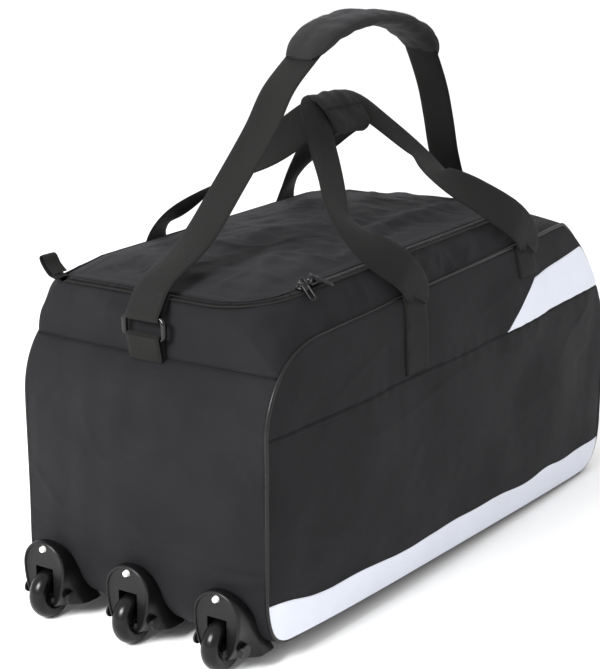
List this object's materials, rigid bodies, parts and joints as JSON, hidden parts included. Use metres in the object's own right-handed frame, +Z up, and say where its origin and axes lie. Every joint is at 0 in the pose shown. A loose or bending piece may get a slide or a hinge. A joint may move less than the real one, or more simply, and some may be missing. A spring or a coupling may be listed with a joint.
{
  "type": "wheeled equipment bag",
  "caption": "Long black fabric equipment duffel with white side bands, carry handles, a padded shoulder strap and inline wheels under one end.",
  "frame": {"origin": "middle of the footprint, at floor height", "axes": "+X along the length, away from the wheeled end; -Y is the near long side that the zip runs along; +Z up"},
  "size_m": [1.006, 0.4064, 0.7371],
  "materials": {
    "fabric": "plain-weave polyester, slight sheen",
    "white_fabric": "coated white fabric, smooth",
    "piping": "semi-gloss bead",
    "zip": "coil chain on woven tape",
    "webbing": "flat woven webbing",
    "padding": "padded fabric",
    "gloss_black": "glossy moulded",
    "housing": "moulded, semi-gloss",
    "tyre": "smooth hard rubber",
    "axle_steel": "plain turned",
    "rivet": "pale domed head",
    "board": "plain sheet"
  },
  "bodies": {
    "bag": {"side_band_near": "white_fabric", "side_band_far": "white_fabric", "side_lower_near": "fabric", "side_lower_far": "fabric", "side_upper_near": "fabric", "side_upper_far": "fabric", "side_accent_near": "white_fabric", "side_accent_far": "white_fabric", "piping_near": "piping", "piping_far": "piping", "shoulder_front": "fabric", "shoulder_rear": "fabric", "shoulder_near": "fabric", "shoulder_far": "fabric", "housing_1": "housing", "axle_1": "axle_steel", "rivet_1": "rivet", "housing_2": "housing", "axle_2": "axle_steel", "rivet_2": "rivet", "housing_3": "housing", "axle_3": "axle_steel", "rivet_3": "rivet", "end_front": "fabric", "end_rear": "fabric", "bottom": "fabric", "base_board": "board", "zip_body": "zip", "webbing_near_front": "webbing", "webbing_near_rear": "webbing", "webbing_far_front": "webbing", "webbing_far_rear": "webbing", "anchor_front": "webbing", "ring_front": "gloss_black", "anchor_rear": "webbing", "ring_rear": "gloss_black", "loop_tab": "webbing", "grab_handle": "webbing"},
    "wheel_1": {"wheel_1": "tyre"},
    "wheel_2": {"wheel_2": "tyre"},
    "wheel_3": {"wheel_3": "tyre"},
    "lid": {"lid": "fabric", "zip_lid": "zip"},
    "near_handle": {"handle_near": "webbing", "grip": "padding"},
    "far_handle": {"handle_far": "webbing"},
    "shoulder_strap": {"strap_front": "webbing", "strap_rear": "webbing", "shoulder_pad": "padding"},
    "near_slider": {"slider_near": "gloss_black"},
    "front_slider": {"slider_front": "gloss_black"},
    "near_pull": {"pull_near": "gloss_black"},
    "front_pull": {"pull_front": "gloss_black"}
  },
  "joints": [
    {"name": "wheel_1_spin", "type": "hinge", "parent": "bag", "child": "wheel_1", "pos_m": [-0.47, -0.1359, 0.033], "axis": [0, 1, 0], "continuous": true},
    {"name": "wheel_2_spin", "type": "hinge", "parent": "bag", "child": "wheel_2", "pos_m": [-0.47, 0.0001, 0.033], "axis": [0, 1, 0], "continuous": true},
    {"name": "wheel_3_spin", "type": "hinge", "parent": "bag", "child": "wheel_3", "pos_m": [-0.47, 0.1361, 0.033], "axis": [0, 1, 0], "continuous": true},
    {"name": "lid_hinge", "type": "hinge", "parent": "bag", "child": "lid", "pos_m": [0, 0.15808, 0.4505], "axis": [-1, 0, 0], "range_deg": [0, 105]},
    {"name": "near_handle_swing", "type": "hinge", "parent": "bag", "child": "near_handle", "pos_m": [-0.12995, -0.19642, 0.39026], "axis": [0.9992, 0, 0.0391], "range_deg": [0, 168], "deforming": ["grip"]},
    {"name": "far_handle_swing", "type": "hinge", "parent": "bag", "child": "far_handle", "pos_m": [-0.16495, 0.19658, 0.38889], "axis": [-0.9992, 0, -0.0391], "range_deg": [0, 168]},
    {"name": "strap_swing", "type": "hinge", "parent": "bag", "child": "shoulder_strap", "pos_m": [0, 0.00008, 0.405], "axis": [1, 0, 0], "range_deg": [0, 29.4], "deforming": ["strap_front", "strap_rear"]},
    {"name": "near_slider_slide", "type": "slide", "parent": "lid", "child": "near_slider", "axis": [0.9998, 0, 0.0194], "range_m": [0, 0.43]},
    {"name": "front_slider_turn", "type": "hinge", "parent": "lid", "child": "front_slider", "pos_m": [-0.32395, -0.07392, 0.44], "axis": [0.1529, 0, -0.9882], "range_deg": [0, 83]},
    {"name": "near_pull_flip", "type": "hinge", "parent": "near_slider", "child": "near_pull", "pos_m": [-0.315, -0.1579, 0.455], "axis": [-1, 0, 0], "range_deg": [0, 150]},
    {"name": "front_pull_flip", "type": "hinge", "parent": "front_slider", "child": "front_pull", "pos_m": [-0.3337, -0.1576, 0.4539], "axis": [-0.9944, 0.1057, 0], "range_deg": [0, 150]}
  ],
  "couplings": [
    {"joint": "near_handle_swing", "follows": "lid_hinge", "ratio": 1.6},
    {"joint": "far_handle_swing", "follows": "lid_hinge", "ratio": 1.6},
    {"joint": "strap_swing", "follows": "lid_hinge", "ratio": 0.28}
  ]
}
